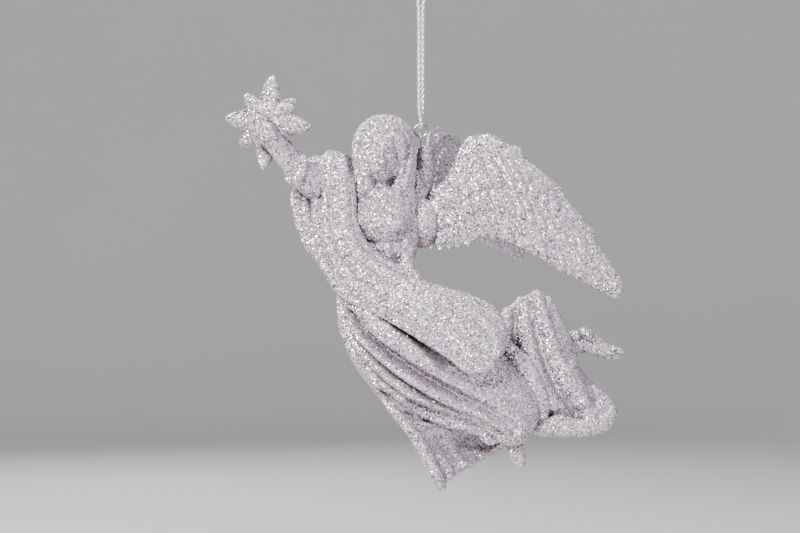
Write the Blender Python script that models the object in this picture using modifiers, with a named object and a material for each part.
"""Hanging angel ornament: glittered resin castings on an eye pin, a jump ring and a knotted cord loop.

Every shape below is given in millimetres in the figure's own frame, whose height 0 is the middle of the eye
pin's loop, and point() turns that into a world place in metres. +X is the side the gown trails to, -Y the side
the angel faces, +Z is up. The world origin is where a hook carries the cord loop, straight above the eye.
"""
import math

import bmesh
import bpy
from mathutils import Euler, Matrix, Vector

# Driving dimensions, in millimetres
MM = 0.001
LOOP_HEIGHT = 50.5         # from the middle of the eye up to the hook in the cord loop
GLUE_GAP = 0.40            # left round each tenon and lapped edge

WIRE_RADIUS = 0.35         # jump ring and eye pin wire
RING_RADIUS = 1.90         # jump ring, to the middle of its wire
EYE_RADIUS = 1.25          # eye pin's loop, to the middle of its wire
EYE_X = 0.3                # the pin stands behind the head
EYE_Y = 4.0
RUN_GAP = 0.30             # between the wires and the cord that run on each other
PIN_FOOT = -13.0           # lowest point of the pin's shank

CORD_RADIUS = 0.50
KNOT_RADIUS = 1.9

STAR_RAYS = 8
STAR_LONG = 14.1           # upright rays, from the star's centre
STAR_SIDE = 12.8           # level rays
STAR_SHORT = 11.0
STAR_VALLEY = 7.3
STAR_THICK = 3.3           # half of its thickness at the centre
STAR_LEAN = math.radians(6.0)
STAR_VALLEY_TURN = math.radians(26.0)   # from a long ray to the valley beside it

FAR_WING_YAW = math.radians(56.0)
FAR_WING_LIFT = math.radians(-11.0)

SILVER = (0.60, 0.57, 0.60)
SHADED_SILVER = (0.45, 0.43, 0.46)
STEEL = (0.62, 0.62, 0.64)
CORD_SILVER = (0.72, 0.72, 0.74)

EYE_MIDDLE = 0.0
RING_FOOT = EYE_MIDDLE + EYE_RADIUS - 2 * WIRE_RADIUS - RUN_GAP       # middle of the ring's lowest wire
RING_MIDDLE = RING_FOOT + RING_RADIUS
RING_CROWN = RING_MIDDLE + RING_RADIUS
BIGHT_RADIUS = WIRE_RADIUS + RUN_GAP + CORD_RADIUS                    # cord's bend over the ring's wire


def point(x, y, z):
    """A place in the figure's frame, in millimetres, as a world place in metres."""
    return Vector((x - EYE_X, y - EYE_Y, z - LOOP_HEIGHT)) * MM


def start_clean():
    for old in list(bpy.data.objects):
        bpy.data.objects.remove(old, do_unlink=True)
    for old in list(bpy.data.collections):
        bpy.data.collections.remove(old)


def new_collection(name):
    made = bpy.data.collections.new(name)
    bpy.context.scene.collection.children.link(made)
    return made


def finish(name, colour, metallic, roughness):
    made = bpy.data.materials.new(name)
    made.use_nodes = True
    shader = made.node_tree.nodes["Principled BSDF"]
    shader.inputs["Base Color"].default_value = (*colour, 1.0)
    shader.inputs["Metallic"].default_value = metallic
    shader.inputs["Roughness"].default_value = roughness
    made.diffuse_color = (*colour, 1.0)
    return made


def add_object(name, mesh, collection, material=None):
    made = bpy.data.objects.new(name, mesh)
    collection.objects.link(made)
    if material:
        mesh.materials.clear()
        mesh.materials.append(material)
    return made


def mesh_from(name, bm):
    bmesh.ops.recalc_face_normals(bm, faces=bm.faces[:])
    mesh = bpy.data.meshes.new(name)
    bm.to_mesh(mesh)
    bm.free()
    mesh.shade_smooth()
    mesh.set_sharp_from_angle(angle=math.radians(50))
    return mesh


def smooth_rows(rows, steps):
    """Rows of numbers on one smooth curve through the rows given."""
    finer = []
    last = len(rows) - 1
    for index in range(last):
        near = (rows[max(index - 1, 0)], rows[index], rows[index + 1], rows[min(index + 2, last)])
        for step in range(steps):
            t = step / steps
            finer.append(tuple(
                0.5 * (2 * b + (c - a) * t + (2 * a - 5 * b + 4 * c - d) * t * t
                       + (3 * b - a - 3 * c + d) * t ** 3)
                for a, b, c, d in zip(*near)))
    finer.append(tuple(rows[-1]))
    return finer


def ribbed_mesh(name, ribs, sides=20, steps=2, squareness=2.0, turn=0.0):
    """A closed casting over oval ribs. A rib is (low x, low z, high x, high z, front y, back y).

    The oval runs from the low edge to the high edge and from front to back; turn rotates it about
    the vertical through its own middle.
    """
    bm = bmesh.new()
    rings = []
    for low_x, low_z, high_x, high_z, front, back in smooth_rows(ribs, steps):
        middle = point((low_x + high_x) / 2, (front + back) / 2, (low_z + high_z) / 2)
        across = Vector((high_x - low_x, 0, high_z - low_z)) * MM / 2
        deep = Vector((0, back - front, 0)) * MM / 2
        spin = Matrix.Rotation(turn, 3, "Z")
        ring = []
        for side in range(sides):
            angle = 2 * math.pi * side / sides
            c, s = math.cos(angle), math.sin(angle)
            c = math.copysign(abs(c) ** (2 / squareness), c)
            s = math.copysign(abs(s) ** (2 / squareness), s)
            ring.append(bm.verts.new(middle + spin @ (across * c + deep * s)))
        rings.append(ring)
    for lower, upper in zip(rings, rings[1:]):
        for side in range(sides):
            after = (side + 1) % sides
            bm.faces.new((lower[side], lower[after], upper[after], upper[side]))
    bm.faces.new(rings[0][::-1])
    bm.faces.new(rings[-1])
    bmesh.ops.triangulate(bm, faces=[f for f in bm.faces if len(f.verts) > 4])
    return mesh_from(name, bm)


def cloth_mesh(name, one_edge, other_edge, crown, thickness, along=3, across=6):
    """A thick cloth between two edges given as (x, y, z) rows, bowed to the front by the crown."""
    rows = list(zip(smooth_rows(one_edge, along), smooth_rows(other_edge, along)))
    bm = bmesh.new()
    bmesh.ops.create_grid(bm, x_segments=across, y_segments=len(rows) - 1, size=0.5)
    for vert in bm.verts:
        row = round((vert.co.y + 0.5) * (len(rows) - 1))
        part = vert.co.x + 0.5
        start, end = rows[row]
        place = Vector(start).lerp(Vector(end), part)
        place.y -= crown * math.sin(math.pi * part)
        vert.co = point(*place)
    mesh = mesh_from(name, bm)
    return thickened(name, mesh, thickness)


def thickened(name, mesh, thickness):
    sheet = add_object(name + "_sheet", mesh, bpy.context.scene.collection)
    shell = sheet.modifiers.new("cloth", "SOLIDIFY")
    shell.thickness = thickness * MM
    shell.offset = 0.0
    shell.use_even_offset = True
    return settled(sheet, name)


def settled(source, name):
    """The mesh of an object with its modifiers or bevel applied; the object itself goes."""
    graph = bpy.context.evaluated_depsgraph_get()
    mesh = bpy.data.meshes.new_from_object(source.evaluated_get(graph))
    mesh.transform(source.matrix_world)
    bm = bmesh.new()
    bm.from_mesh(mesh)
    bmesh.ops.remove_doubles(bm, verts=bm.verts[:], dist=0.00001)
    bpy.data.objects.remove(source, do_unlink=True)
    return mesh_from(name, bm)


def limb_mesh(name, route, smoothness=3, resolution=3):
    """A round, tapering limb or wire along (x, y, z, radius) rows."""
    rows = smooth_rows(route, smoothness)
    curve = bpy.data.curves.new(name + "_path", "CURVE")
    curve.dimensions = "3D"
    curve.bevel_depth = MM
    curve.bevel_resolution = resolution
    curve.use_fill_caps = True
    spline = curve.splines.new("POLY")
    spline.points.add(len(rows) - 1)
    for knot, (x, y, z, radius) in zip(spline.points, rows):
        knot.co = (*point(x, y, z), 1.0)
        knot.radius = radius
    path = add_object(name + "_path", curve, bpy.context.scene.collection)
    bpy.context.view_layer.update()
    return settled(path, name)


def ball_mesh(name, middle, radii):
    bm = bmesh.new()
    bmesh.ops.create_uvsphere(bm, u_segments=16, v_segments=10, radius=MM)
    bmesh.ops.scale(bm, vec=Vector(radii), verts=bm.verts[:])
    bmesh.ops.translate(bm, vec=point(*middle), verts=bm.verts[:])
    return mesh_from(name, bm)


def combined(receiver, other_mesh, operation):
    """Join or cut a casting with another mesh, and keep the one main body."""
    other = add_object(receiver.name + "_tool", other_mesh, cutters)
    other.hide_render = True
    other.display_type = "WIRE"
    step = receiver.modifiers.new("step", "BOOLEAN")
    step.operation = operation
    step.solver = "EXACT"
    step.object = other
    bpy.context.view_layer.update()
    graph = bpy.context.evaluated_depsgraph_get()
    result = bpy.data.meshes.new_from_object(receiver.evaluated_get(graph))
    receiver.modifiers.clear()
    bpy.data.objects.remove(other, do_unlink=True)
    material = receiver.data.materials[0]
    bm = bmesh.new()
    bm.from_mesh(result)
    bmesh.ops.remove_doubles(bm, verts=bm.verts[:], dist=0.000005)
    bmesh.ops.dissolve_degenerate(bm, edges=bm.edges[:], dist=0.000005)
    keep_main_body(bm)
    bmesh.ops.triangulate(bm, faces=bm.faces[:])
    receiver.data = mesh_from(receiver.name, bm)
    receiver.data.materials.append(material)


def keep_main_body(bm):
    """Drop the slivers that a cut leaves beside the casting."""
    unseen = set(bm.faces)
    bodies = []
    while unseen:
        body = []
        waiting = [unseen.pop()]
        while waiting:
            face = waiting.pop()
            body.append(face)
            for edge in face.edges:
                for beside in edge.link_faces:
                    if beside in unseen:
                        unseen.remove(beside)
                        waiting.append(beside)
        bodies.append(body)
    bodies.sort(key=lambda body: -sum(face.calc_area() for face in body))
    spare = [face for body in bodies[1:] for face in body]
    bmesh.ops.delete(bm, geom=spare, context="FACES")
    bmesh.ops.delete(bm, geom=[v for v in bm.verts if not v.link_faces], context="VERTS")


def seat(receiver, insert_shape, gap=GLUE_GAP):
    """Cut the seat for one casting into another, a glue gap larger all round."""
    bm = bmesh.new()
    bm.from_mesh(insert_shape)
    bm.normal_update()
    places = [vert.co + vert.normal * gap * MM for vert in bm.verts]
    for vert, place in zip(bm.verts, places):
        vert.co = place
    combined(receiver, mesh_from(receiver.name + "_seat", bm), "DIFFERENCE")


def boxes_meet(one, other):
    """Whether the boxes round two meshes touch or overlap, a glue gap allowed."""
    for axis in range(3):
        spans = [[vert.co[axis] for vert in mesh.vertices] for mesh in (one, other)]
        if min(spans[0]) > max(spans[1]) + GLUE_GAP * MM or min(spans[1]) > max(spans[0]) + GLUE_GAP * MM:
            return False
    return True


# The castings -------------------------------------------------------------------------------------


def bodice_shape():
    """Bodice from the neck to the waist tenon, turned a little towards the star."""
    ribs = [
        (-16.5, -54.0, -9.5, -54.0, -2.5, 4.5),
        (-17.5, -50.0, -8.5, -50.0, -4.0, 5.5),
        (-22.0, -45.0, -4.5, -44.0, -6.0, 8.0),
        (-21.0, -38.0, -4.0, -38.0, -6.0, 8.0),
        (-22.0, -32.0, -2.8, -31.0, -7.0, 9.0),
        (-24.0, -27.0, -1.6, -26.0, -9.0, 9.5),
        (-25.5, -22.0, -0.6, -22.0, -8.0, 10.0),
        (-24.0, -18.0, -0.6, -18.0, -5.5, 9.5),
        (-18.0, -15.5, -4.0, -15.5, -3.0, 7.5),
        (-14.5, -13.0, -7.5, -13.0, -2.5, 4.5),
        (-13.5, -8.0, -8.5, -8.0, -2.0, 3.0),
    ]
    return ribbed_mesh("torso", ribs, sides=20, squareness=2.2, turn=math.radians(-8))


def yoke_shape():
    """Ridge of the back between the wing roots, which holds the eye pin."""
    route = [(-6.0, 4.0, -24.0, 5.0), (-1.0, 6.0, -16.0, 4.4), (1.3, 6.6, -9.0, 3.2),
             (1.2, 5.4, -4.6, 2.4), (0.8, 4.9, -2.6, 1.3)]
    return limb_mesh("yoke", route, resolution=4)


def head_shape(material):
    """Skull under long smooth hair that falls to both shoulders, with a plain oval face."""
    hair = [
        (-19.2, -19.5, -2.2, -19.5, -1.0, 7.0),
        (-20.4, -17.0, -0.9, -17.0, -4.0, 8.4),
        (-20.6, -13.0, -0.8, -13.0, -6.5, 9.0),
        (-20.2, -8.0, -1.1, -8.0, -8.6, 9.8),
        (-20.0, -3.0, -1.2, -3.0, -9.6, 10.0),
        (-19.0, 1.5, -2.0, 1.5, -9.2, 9.2),
        (-16.6, 4.9, -4.4, 4.9, -6.6, 6.6),
        (-12.6, 6.8, -8.4, 6.8, -2.0, 2.4),
    ]
    head = add_object("head", ribbed_mesh("head", hair, sides=20, squareness=2.2), castings, material)
    combined(head, ball_mesh("face", (-11.3, -4.8, -6.4), (5.6, 7.0, 7.6)), "UNION")
    return head


def gown_skirt_shape():
    """Front of the gown, sweeping from the waist down and back to a folded end."""
    ribs = [
        (-24.6, -45.6, -4.0, -45.4, -8.0, 12.0),
        (-24.9, -50.0, 0.5, -47.5, -11.0, 15.5),
        (-24.3, -57.6, 6.5, -50.0, -13.5, 18.5),
        (-21.0, -66.6, 14.0, -54.0, -14.5, 20.5),
        (-15.3, -74.7, 20.5, -58.5, -14.0, 21.0),
        (-7.5, -83.0, 26.5, -63.0, -12.5, 20.5),
        (4.0, -87.0, 32.0, -68.5, -11.0, 18.0),
        (15.0, -89.2, 35.5, -75.0, -9.5, 12.0),
        (25.0, -91.8, 36.2, -81.5, -8.0, 5.0),
        (30.0, -91.5, 35.0, -86.0, -6.0, 1.0),
    ]
    return ribbed_mesh("gown_skirt", ribs, sides=28, squareness=2.1)


def skirt_hollow_shape():
    """Open underside of the front skirt, above the train."""
    return ball_mesh("hollow", (13.0, 3.5, -88.0), (18.0, 8.5, 15.0))


def gown_tail_shape():
    """Rear of the gown: a high folded corner and a thick rolled lower hem."""
    ribs = [
        (17.0, -84.0, 20.0, -60.0, 1.0, 18.0),
        (24.0, -88.0, 26.0, -52.0, -1.0, 20.0),
        (32.0, -89.7, 34.5, -46.6, -2.5, 20.5),
        (40.0, -89.8, 38.8, -47.6, -3.0, 20.0),
        (47.0, -89.8, 44.0, -56.5, -3.0, 19.5),
        (53.0, -90.0, 49.0, -71.0, -2.5, 19.0),
        (57.0, -88.6, 55.5, -77.0, -1.0, 17.0),
        (59.2, -86.0, 58.8, -79.8, 1.0, 13.0),
    ]
    return ribbed_mesh("gown_tail", ribs, sides=22, squareness=2.2)


def tail_hollow_shape():
    """Inside of the gown's rear, open below between its front and back walls."""
    ribs = [
        (26.0, -96.0, 27.0, -58.5, 3.0, 16.0),
        (32.0, -96.0, 33.5, -51.0, 1.0, 17.5),
        (40.0, -96.0, 38.4, -52.0, 0.4, 17.2),
        (47.0, -96.0, 42.6, -61.0, 0.4, 16.8),
        (52.0, -96.0, 48.0, -75.0, 1.0, 16.4),
        (55.0, -96.0, 53.5, -80.0, 3.0, 14.0),
    ]
    return ribbed_mesh("hollow", ribs, sides=16, squareness=2.6)


def train_shape():
    """Flared corner of the front hem: a cupped cloth whose thick rim points down."""
    upper = [(-6.6, -8.5, -83.5), (1.0, -6.0, -85.0), (9.0, -2.0, -87.0), (17.0, 4.0, -88.5),
             (26.0, 8.0, -90.5)]
    lower = [(5.6, -9.5, -104.2), (8.7, -6.0, -102.4), (14.4, -1.0, -99.0), (21.0, 4.5, -95.6),
             (26.6, 8.0, -92.6)]
    return cloth_mesh("train", upper, lower, crown=-3.0, thickness=2.4, along=3, across=6)


def mantle_shape():
    """Long cloth over the right shoulder, down the chest, round the waist and out to a round end."""
    outer = [(-27.5, 4.5, -5.0), (-30.3, 1.0, -9.0), (-31.6, -3.0, -18.0), (-31.4, -4.8, -27.0),
             (-29.6, -6.5, -37.0), (-24.8, -9.0, -46.0), (-18.0, -12.2, -50.5), (-9.3, -14.4, -54.6),
             (0.0, -15.6, -60.3), (8.4, -16.0, -65.6), (14.5, -15.6, -70.2), (20.0, -14.6, -68.8)]
    inner = [(-22.0, 5.5, -6.6), (-20.5, 0.0, -9.2), (-19.8, -4.8, -18.0), (-19.2, -7.4, -26.0),
             (-14.6, -7.2, -34.0), (-5.6, -6.0, -39.6), (-0.3, -7.0, -43.4), (7.0, -8.2, -45.6),
             (14.6, -9.0, -47.8), (21.0, -9.8, -51.0), (24.4, -10.8, -56.0), (24.6, -12.4, -62.5)]
    return cloth_mesh("mantle", outer, inner, crown=2.2, thickness=2.8, along=3, across=8)


def sleeve_shape():
    """Hanging sleeve behind the mantle, from the raised arm down to the waist."""
    outer = [(-33.5, 1.0, -11.0), (-38.6, 2.0, -17.0), (-37.4, 3.0, -25.5), (-34.6, 3.5, -32.5),
             (-30.4, 3.0, -37.5), (-25.4, 2.0, -46.0)]
    inner = [(-27.0, 4.0, -6.0), (-24.5, 5.5, -13.5), (-23.6, 6.0, -24.0), (-22.4, 5.6, -32.0),
             (-21.4, 5.0, -37.5), (-20.6, 4.0, -44.5)]
    return cloth_mesh("sleeve_drape", outer, inner, crown=2.5, thickness=2.4, along=3, across=5)


def raised_arm_shape():
    """Right arm: shoulder tenon, sleeve, forearm and the closed hand that holds the star."""
    route = [(-17.0, 2.0, -21.0, 3.4), (-24.0, 0.0, -18.5, 4.2), (-31.0, -3.0, -14.6, 4.6),
             (-35.5, -5.5, -11.0, 4.2), (-38.5, -7.5, -7.4, 3.7), (-42.0, -9.6, -3.6, 3.2),
             (-44.6, -11.0, -0.6, 3.1), (-46.0, -11.8, 1.6, 2.9), (-47.0, -12.2, 3.0, 1.4)]
    return limb_mesh("raised_arm", route)


def lower_arm_shape():
    """Left arm: held to the side, with the hand on the hip over the cloth."""
    route = [(-6.5, 2.0, -20.5, 3.2), (-3.8, 0.5, -24.0, 3.6), (-3.4, -0.6, -30.0, 3.2),
             (-4.2, -2.6, -35.6, 2.8), (-4.2, -5.6, -39.6, 2.4), (-3.2, -7.2, -41.6, 2.6),
             (-1.8, -7.2, -42.2, 1.6)]
    return limb_mesh("lower_arm", route)


def star_outline():
    """One turn of the star's edge, as (reach, angle) pairs, six to a ray."""
    edge = []
    for ray in range(STAR_RAYS):
        heading = 2 * math.pi * ray / STAR_RAYS
        reach = {0: STAR_LONG, 2: STAR_SIDE}.get(ray % 4, STAR_SHORT)
        valley = STAR_VALLEY_TURN if ray % 2 == 0 else 2 * math.pi / STAR_RAYS - STAR_VALLEY_TURN
        broad = 2.15 if ray % 2 == 0 else 1.9
        side_view = [(STAR_VALLEY * math.cos(valley), -STAR_VALLEY * math.sin(valley)),
                     (reach * 0.78, -broad), (reach - 0.9, -1.1), (reach, 0.0),
                     (reach - 0.9, 1.1), (reach * 0.78, broad)]
        for along, aside in side_view:
            edge.append((math.hypot(along, aside), heading + math.atan2(aside, along)))
    return edge


def star_shape():
    """Eight-pointed star, thick in the middle, with a ridge down each ray."""
    middle = (-45.1, -7.0, 3.8)
    bm = bmesh.new()
    levels = [(1.0, 0.30), (0.90, 0.52), (0.66, 0.78), (0.36, 0.95)]
    edge = star_outline()
    tips = {}
    rings = []
    for face_way in (-1, 1):
        for scale, depth in levels:
            ring = []
            for reach, angle in edge:
                lean = angle + STAR_LEAN
                x = middle[0] + scale * reach * math.sin(lean)
                z = middle[2] + scale * reach * math.cos(lean)
                ring.append(bm.verts.new(point(x, middle[1] + face_way * depth * STAR_THICK, z)))
            rings.append(ring)
        tips[face_way] = bm.verts.new(point(middle[0], middle[1] + face_way * STAR_THICK, middle[2]))
    front, back = rings[:len(levels)], rings[len(levels):]
    count = len(edge)
    for level in range(len(levels) - 1):
        for here in range(count):
            after = (here + 1) % count
            bm.faces.new((front[level][here], front[level][after],
                          front[level + 1][after], front[level + 1][here]))
            bm.faces.new((back[level][here], back[level + 1][here],
                          back[level + 1][after], back[level][after]))
    for here in range(count):
        after = (here + 1) % count
        bm.faces.new((front[0][here], back[0][here], back[0][after], front[0][after]))
        bm.faces.new((front[-1][here], front[-1][after], tips[-1]))
        bm.faces.new((back[-1][after], back[-1][here], tips[1]))
    return mesh_from("star", bm)


def wing_shape(name):
    """Half-spread wing in its own plane: ribs run from the trailing edge to the leading edge."""
    ribs = [
        (-6.0, -30.0, -5.0, -19.5, 4.0, 7.0),
        (-1.8, -32.2, 0.5, -18.0, 3.5, 7.0),
        (3.3, -32.6, 4.6, -15.0, 2.0, 6.2),
        (6.6, -33.2, 8.6, -11.0, 0.8, 5.0),
        (10.5, -33.0, 11.2, -5.0, -0.4, 4.0),
        (14.5, -31.6, 13.6, -0.6, -1.2, 3.0),
        (19.5, -29.2, 18.6, 1.2, -1.8, 2.4),
        (25.0, -30.0, 24.0, -0.2, -2.0, 2.0),
        (31.0, -32.4, 30.6, -5.0, -1.8, 1.8),
        (36.0, -35.6, 36.2, -10.6, -1.4, 1.8),
        (41.0, -38.6, 41.6, -16.4, -0.8, 2.0),
        (46.5, -41.6, 46.6, -23.6, 0.0, 2.4),
        (51.5, -44.6, 51.2, -31.0, 0.6, 2.8),
        (56.0, -47.4, 56.0, -40.0, 1.2, 3.0),
        (59.4, -48.8, 60.0, -46.6, 1.6, 3.0),
    ]
    return ribbed_mesh(name, ribs, sides=10, squareness=1.6)


def far_wing_shape():
    """The other wing: the same casting mirrored about the back, swung away and a little raised."""
    root = point(1.0, 7.0, -22.0)
    mesh = wing_shape("far_wing")
    swing = Matrix.Rotation(FAR_WING_YAW, 4, "Z") @ Matrix.Rotation(FAR_WING_LIFT, 4, "Y")
    mirror = Matrix.Scale(-1.0, 4, Vector((0, 1, 0)))
    start = point(0.5, 5.0, -22.0)
    mesh.transform(Matrix.Translation(root) @ swing @ mirror @ Matrix.Translation(-start))
    mesh.flip_normals()
    return mesh


def trailing_foot_shape():
    """Right foot, stretched out behind the gown."""
    route = [(38.0, 8.5, -65.5, 4.2), (44.0, 8.5, -63.5, 3.9), (48.6, 8.8, -61.6, 3.8),
             (52.0, 8.6, -62.4, 3.4), (56.0, 8.2, -64.4, 2.6), (59.6, 8.0, -65.2, 2.0),
             (61.4, 8.0, -65.4, 1.0)]
    return limb_mesh("trailing_foot", route)


def tucked_foot_shape():
    """Left foot, whose toes show below the hem."""
    route = [(24.5, -1.5, -84.0, 3.6), (27.0, -1.8, -89.0, 3.1), (28.6, -2.2, -93.6, 2.6),
             (29.8, -2.8, -97.0, 1.9), (30.3, -3.2, -98.6, 0.9)]
    return limb_mesh("tucked_foot", route)


def shoulder_fold_shape():
    """Rounded fold of cloth between the raised sleeve and the mantle."""
    return ball_mesh("shoulder_fold", (-31.4, 3.6, -9.2), (3.2, 3.0, 3.6))


# The metal and the cord ---------------------------------------------------------------------------


def wire_ring(name, middle, radius, facing):
    """A closed ring of wire; facing turns its axis from Z to Y or X."""
    bpy.ops.mesh.primitive_torus_add(major_segments=28, minor_segments=8, major_radius=radius * MM,
                                     minor_radius=WIRE_RADIUS * MM)
    ring = bpy.context.active_object
    mesh = ring.data.copy()
    bpy.data.objects.remove(ring, do_unlink=True)
    mesh.transform(Matrix.Translation(point(*middle)) @ facing.to_matrix().to_4x4())
    mesh.name = name
    mesh.shade_smooth()
    return mesh


def eye_pin(material):
    loop = wire_ring("eye_pin", (EYE_X, EYE_Y, EYE_MIDDLE), EYE_RADIUS, Euler((0, math.pi / 2, 0)))
    pin = add_object("eye_pin", loop, castings, material)
    shank = [(EYE_X, EYE_Y, EYE_MIDDLE - EYE_RADIUS, WIRE_RADIUS * 1.15),
             (EYE_X + 0.6, EYE_Y + 1.0, PIN_FOOT * 0.4, WIRE_RADIUS * 1.15),
             (EYE_X, EYE_Y + 2.4, PIN_FOOT, WIRE_RADIUS * 1.15)]
    combined(pin, limb_mesh("shank", shank, smoothness=3, resolution=2), "UNION")
    return pin


def cord_route():
    """Middle line of the cord: knot, down one strand, under the ring's wire, up the other strand."""
    strand = [
        # x and y beside the loop's middle line, then height
        (0.0, 1.15, RING_CROWN),
        (0.22, 1.02, 6.0),
        (0.46, 0.62, 8.6),
        (0.58, 0.16, 11.6),
        (0.58, 0.0, 15.0),
        (0.58, 0.0, 20.0),
        (0.58, 0.0, 26.0),
        (0.58, 0.0, 32.0),
        (0.62, 0.0, 37.0),
        (0.82, 0.0, 41.0),
        (1.50, 0.0, 43.5),
        (2.30, 0.0, 46.0),
        (2.55, 0.0, 48.0),
        (2.05, 0.0, 49.9),
        (0.80, 0.0, LOOP_HEIGHT + 0.9),
    ]
    bend = []
    for step in range(1, 6):
        angle = math.pi * step / 6
        bend.append((0.0, BIGHT_RADIUS * math.cos(angle), RING_CROWN - BIGHT_RADIUS * math.sin(angle)))
    down = strand[::-1]
    up = [(-x, -y, z) for x, y, z in strand]
    return [(EYE_X + x, EYE_Y + y, z) for x, y, z in down + bend + up]


def hanging_cord(material):
    route = [(*place, CORD_RADIUS) for place in cord_route()]
    return add_object("hanging_cord", limb_mesh("hanging_cord", route, smoothness=2, resolution=2),
                      castings, material)


def cord_knot(material):
    """Overhand knot that closes the loop, with its two short tails."""
    middle_z = LOOP_HEIGHT + 3.3
    knot = add_object("cord_knot", ball_mesh("cord_knot", (EYE_X, EYE_Y, middle_z),
                                             (KNOT_RADIUS, KNOT_RADIUS * 0.85, KNOT_RADIUS * 0.92)),
                      castings, material)
    for side in (-1, 1):
        tail = [(EYE_X + side * 0.5, EYE_Y, middle_z + 0.6, CORD_RADIUS),
                (EYE_X + side * 0.9, EYE_Y, middle_z + 3.0, CORD_RADIUS),
                (EYE_X + side * 1.7, EYE_Y, middle_z + 5.4, CORD_RADIUS)]
        combined(knot, limb_mesh("tail", tail, smoothness=2, resolution=2), "UNION")
    return knot


def pivot_at(pieces, place, name):
    """Put the origin of each piece on the joint, and hang the pieces on one empty there."""
    mount = bpy.data.objects.new(name, None)
    castings.objects.link(mount)
    mount.location = place
    for piece in pieces:
        piece.data.transform(Matrix.Translation(-place))
        piece.parent = mount


start_clean()
castings = new_collection("glitter_angel")
cutters = new_collection("cutters")
silver = finish("silver_glitter_resin", SILVER, 0.6, 0.35)
shaded = finish("silver_glitter_resin_rear", SHADED_SILVER, 0.6, 0.40)
steel = finish("plated_steel_wire", STEEL, 1.0, 0.25)
braid = finish("silver_metallic_braid", CORD_SILVER, 0.8, 0.35)

torso = add_object("torso", bodice_shape(), castings, silver)
combined(torso, yoke_shape(), "UNION")
head = head_shape(silver)
mantle = add_object("mantle", mantle_shape(), castings, silver)
raised_arm = add_object("raised_arm", raised_arm_shape(), castings, silver)
lower_arm = add_object("lower_arm", lower_arm_shape(), castings, silver)
shoulder_fold = add_object("shoulder_fold", shoulder_fold_shape(), castings, shaded)
sleeve = add_object("sleeve_drape", sleeve_shape(), castings, shaded)
star = add_object("star", star_shape(), castings, silver)
near_wing = add_object("near_wing", wing_shape("near_wing"), castings, silver)
far_wing = add_object("far_wing", far_wing_shape(), castings, shaded)
skirt = add_object("gown_skirt", gown_skirt_shape(), castings, silver)
tail = add_object("gown_tail", gown_tail_shape(), castings, shaded)
combined(skirt, skirt_hollow_shape(), "DIFFERENCE")
combined(tail, tail_hollow_shape(), "DIFFERENCE")
train = add_object("train", train_shape(), castings, shaded)
trailing_foot = add_object("trailing_foot", trailing_foot_shape(), castings, silver)
tucked_foot = add_object("tucked_foot", tucked_foot_shape(), castings, silver)

pin = eye_pin(steel)
ring = add_object("jump_ring", wire_ring("jump_ring", (EYE_X, EYE_Y, RING_MIDDLE), RING_RADIUS,
                                         Euler((math.pi / 2, 0, 0))), castings, steel)
cord = hanging_cord(braid)
knot = cord_knot(braid)

# Where two castings meet, the later one in this order is seated on, or round, the earlier one
order = [pin, head, mantle, raised_arm, lower_arm, near_wing, far_wing, torso, star, shoulder_fold,
         trailing_foot, tucked_foot, skirt, tail, train, sleeve]
shapes = [piece.data.copy() for piece in order]
for place, piece in enumerate(order):
    for shape in shapes[:place]:
        if boxes_meet(piece.data, shape):
            seat(piece, shape)

cord_pivot = point(EYE_X, EYE_Y, LOOP_HEIGHT)
ring_pivot = point(EYE_X, EYE_Y, RING_CROWN - BIGHT_RADIUS)
figure_pivot = point(EYE_X, EYE_Y, RING_FOOT)
pivot_at([cord], cord_pivot, "cord_pivot")
pivot_at([ring], ring_pivot, "ring_pivot")
pivot_at(order, figure_pivot, "figure_pivot")
bpy.data.collections.remove(cutters)
